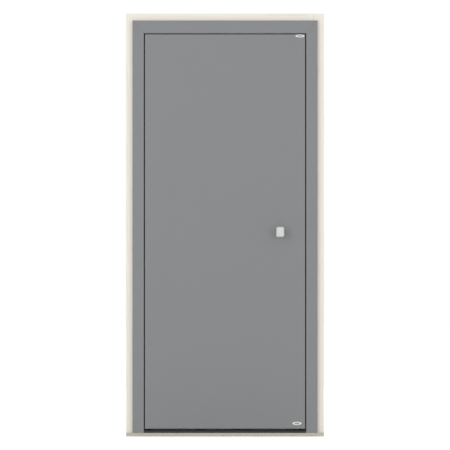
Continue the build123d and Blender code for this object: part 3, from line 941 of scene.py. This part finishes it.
def capSpots():
    spots = []
    for z in evenly(capLook["lowest"], capLook["highest"], capLook["onEachJamb"]):
        spots.append((Vector((-capLook["rebate"], capLook["y"], z)), facingLock))
        spots.append((Vector((capLook["rebate"], capLook["y"], z)), facingHinge))
    return spots


ringLook = {
    "knuckleGap": 0.02575,
    "sizes": {"Sides": 48},
}


def ringSpots():
    spots = []
    for hinge in hinges:
        low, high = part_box(hinge + "_hinge_leaf_wing")
        pin = middleOf(hinge + "_hinge_pin")
        for side in (-1, 1):
            z = (low.z + high.z) / 2 + side * ringLook["knuckleGap"]
            spots.append((Vector((pin.x, pin.y, z)), facingUp))
    return spots


grubLook = {
    "standOff": 0.009,
    "leverNeck": 0.009,
    "knobNeck": 0.011,
    "sizes": {"Head Radius": 0.0021, "Head Rise": 0.0004, "Drive Share": 0.55, "Drive Depth": 0.0006},
}


def grubSpots():
    # under the lever's neck and under the knob's, where a hex key reaches them
    lever, knob = middleOf("lever_rosette"), middleOf("knob_rosette")
    leverFoot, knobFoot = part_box("lever_rosette")[1].y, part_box("knob_rosette")[0].y
    out = grubLook["standOff"]
    return [
        (Vector((lever.x, leverFoot + out, lever.z - grubLook["leverNeck"])), facingDown),
        (Vector((knob.x, knobFoot - out, knob.z - grubLook["knobNeck"])), facingDown),
    ]


screwTree = makeScrewTree()
capTree = makeCapTree()
ringTree = makeRingTree()
frameWings, leafWings, strikes = [], [], []
for hinge in hinges:
    frameWings += wingSpots(hinge + "_hinge_frame_wing", False)
    leafWings += wingSpots(hinge + "_hinge_leaf_wing", True)
for place in ("lower", "main", "upper"):
    strikes += edgePlateSpots(place + "_strike_plate", screwLook["strikeScrews"], facingHinge)
faceplate = edgePlateSpots("lock_faceplate", screwLook["faceplateScrews"], facingLock)
steel = finishes["steelUp"]
smallHead = screwLook["smallHead"]
frameScrews = joined("frame_screws", [
    headsOnPoints("frameWingScrews", screwTree, frameWings, {}, steel),
    headsOnPoints("strikeScrews", screwTree, strikes, smallHead, steel),
    headsOnPoints("thresholdScrews", screwTree, thresholdSpots(), smallHead, steel),
])
leafScrews = joined("leaf_screws", [
    headsOnPoints("leafWingScrews", screwTree, leafWings, {}, steel),
    headsOnPoints("faceplateScrews", screwTree, faceplate, smallHead, steel),
    # the grub screws wear the darker steel that is painted shade on the plates' middle
    headsOnPoints("grubScrews", screwTree, grubSpots(), grubLook["sizes"], finishes["plateMiddlePaintedShade"]),
])
hingeRings = joined("hinge_rings", [
    headsOnPoints("hingeRings", ringTree, ringSpots(), ringLook["sizes"], finishes["breakPlastic"]),
])
fixingCaps = joined("fixing_caps", [
    headsOnPoints("fixingCaps", capTree, capSpots(), {}, finishes["capPlastic"]),
])
for piece, body, slot in (
    (frameScrews, "frame", "steel"),
    (leafScrews, "leaf", "steel"),
    (hingeRings, "frame", "thermal_break"),
    (fixingCaps, "frame", "thermal_break"),
):
    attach(piece, body)
faceCounts = [len(piece.data.polygons) for piece in (frameScrews, leafScrews, fixingCaps)]
print("screws and caps:", *faceCounts, "faces")


# two small blank oval plates on the leaf's lock side, with a rim painted paler as a painted highlight and
# a sunk middle painted darker as painted shade

ovalPlateLook = {
    "upper": {"x": 0.4165, "z": 2.2255, "width": 0.049, "height": 0.0155},
    "lower": {"x": 0.4, "z": 0.073, "width": 0.049, "height": 0.017},
    "thickness": 0.0016,
    "rim": {"width": 0.0065, "height": 0.0036},
    "rimProfile": ((0, 0), (0, 0.6), (0.2, 1), (0.85, 1)),  # shares of the rim and of the thickness
    "sink": 0.0006,
    "sides": 48,
}


def ovalRing(shape, share, y):
    # an oval drawn in by a share of the rim
    rim, sides = ovalPlateLook["rim"], ovalPlateLook["sides"]
    width, height = (shape[key] - 2 * share * rim[key] for key in ("width", "height"))
    points = []
    for turn in (math.tau * index / sides for index in range(sides)):
        x = shape["x"] + width / 2 * math.cos(turn)
        points.append((x, y, shape["z"] + height / 2 * math.sin(turn)))
    return points


def ovalPlate(shape, face):
    # rings from the foot to the sunk middle
    look = ovalPlateLook
    depth = look["thickness"]
    profile = [(share, part * depth) for share, part in look["rimProfile"]]
    profile.append((1, depth - look["sink"]))
    whole = bmesh.new()
    before = None
    for share, rise in profile:
        ring = [whole.verts.new(point) for point in ovalRing(shape, share, face - rise)]
        if before:
            for index in range(len(ring)):
                after = (index + 1) % len(ring)
                whole.faces.new((before[index], before[after], ring[after], ring[index]))
        before = ring
    # the sunk middle wears the darker copy of the steel, painted shade
    whole.faces.new(before).material_index = 1
    mesh = bpy.data.meshes.new("ovalPlate")
    whole.to_mesh(mesh)
    whole.free()
    mesh.materials.append(finishes["plateRimPaintedHighlight"])
    mesh.materials.append(finishes["plateMiddlePaintedShade"])
    return mesh


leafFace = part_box("leaf_outer_panel")[0].y
plates = [ovalPlate(ovalPlateLook[place], leafFace) for place in ("upper", "lower")]
ovalPlates = joined("oval_plates", plates)
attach(ovalPlates, "leaf")
print("oval plates:", len(ovalPlates.data.polygons), "faces")


# stage, light and camera

stageLook = {
    "floorColour": srgb(240, 240, 240),
    "floorGlow": 0.42,
    "worldLight": 0.78,
    "floorSize": 60.0,
}


def seenByEye(tree):
    # 1 for camera, glossy and transmission rays, 0 for the rays that light the object
    path = tree.nodes.new("ShaderNodeLightPath").outputs
    seen = math2(tree, "MAXIMUM", path["Is Camera Ray"], path["Is Glossy Ray"])
    return math2(tree, "MAXIMUM", seen, path["Is Transmission Ray"])


def makeWorld():
    world = bpy.data.worlds.new("whiteStudio")
    world.use_nodes = True
    tree = world.node_tree
    sky = tree.nodes["Background"]
    sky.inputs["Color"].default_value = (1, 1, 1, 1)
    strength = between(tree, seenByEye(tree), 0, 1, stageLook["worldLight"], 1.0, smooth=False)
    tree.links.new(strength, sky.inputs["Strength"])
    bpy.context.scene.world = world


def makeFloor():
    half = stageLook["floorSize"] / 2
    corners = [(-half, -half, 0), (half, -half, 0), (half, half, 0), (-half, half, 0)]
    mesh = bpy.data.meshes.new("floor")
    mesh.from_pydata(corners, [], [(0, 1, 2, 3)])
    floor = bpy.data.objects.new("floor", mesh)
    bpy.context.scene.collection.objects.link(floor)
    made = bpy.data.materials.new("paleFloor")
    made.use_nodes = True
    tree = made.node_tree
    tree.nodes.remove(tree.nodes["Principled BSDF"])
    matt = addNode(tree, "ShaderNodeBsdfDiffuse", {"Color": stageLook["floorColour"]})
    strength = times(tree, seenByEye(tree), stageLook["floorGlow"])
    glow = addNode(tree, "ShaderNodeEmission", {"Strength": strength})
    both = addNode(tree, "ShaderNodeAddShader", {0: matt.outputs[0], 1: glow.outputs[0]})
    tree.links.new(both.outputs[0], tree.nodes["Material Output"].inputs["Surface"])
    mesh.materials.append(made)


lampAim = Vector((0, 0, 1.2))
lampLook = {
    "frontLeft": {"place": (-4.5, -7.0, 2.6), "size": 4.5, "power": 150},
    "frontRight": {"place": (5.0, -7.0, 1.6), "size": 4.5, "power": 105},
    "back": {"place": (2.5, 7.5, 2.6), "size": 4.5, "power": 120},
}


def makeLamps():
    for name, look in lampLook.items():
        lamp = bpy.data.lights.new(name, "AREA")
        lamp.shape = "SQUARE"
        lamp.size = look["size"]
        lamp.energy = look["power"]
        placed = bpy.data.objects.new(name, lamp)
        placed.location = look["place"]
        placed.rotation_mode = "QUATERNION"
        placed.rotation_quaternion = (lampAim - Vector(look["place"])).to_track_quat("-Z", "Y")
        bpy.context.scene.collection.objects.link(placed)


# a long lens straight in front, so that the picture is 2.5 m wide at the door's face
cameraLook = {
    "lens": 400.0,
    "sensor": 36.0,
    "pictureWidth": 2.5,
    "height": 1.175,
    "farthest": 200.0,
}


def makeCamera():
    data = bpy.data.cameras.new("frontView")
    data.lens = cameraLook["lens"]
    data.sensor_width = cameraLook["sensor"]
    data.clip_end = cameraLook["farthest"]
    camera = bpy.data.objects.new("frontView", data)
    distance = cameraLook["pictureWidth"] * cameraLook["lens"] / cameraLook["sensor"]
    camera.location = (0, leafFace - distance, cameraLook["height"])
    camera.rotation_euler = (math.pi / 2, 0, 0)
    bpy.context.scene.collection.objects.link(camera)
    bpy.context.scene.camera = camera


makeWorld()
makeFloor()
makeLamps()
makeCamera()
bpy.context.scene.view_settings.view_transform = "Standard"
print("stage, lamps and camera set")
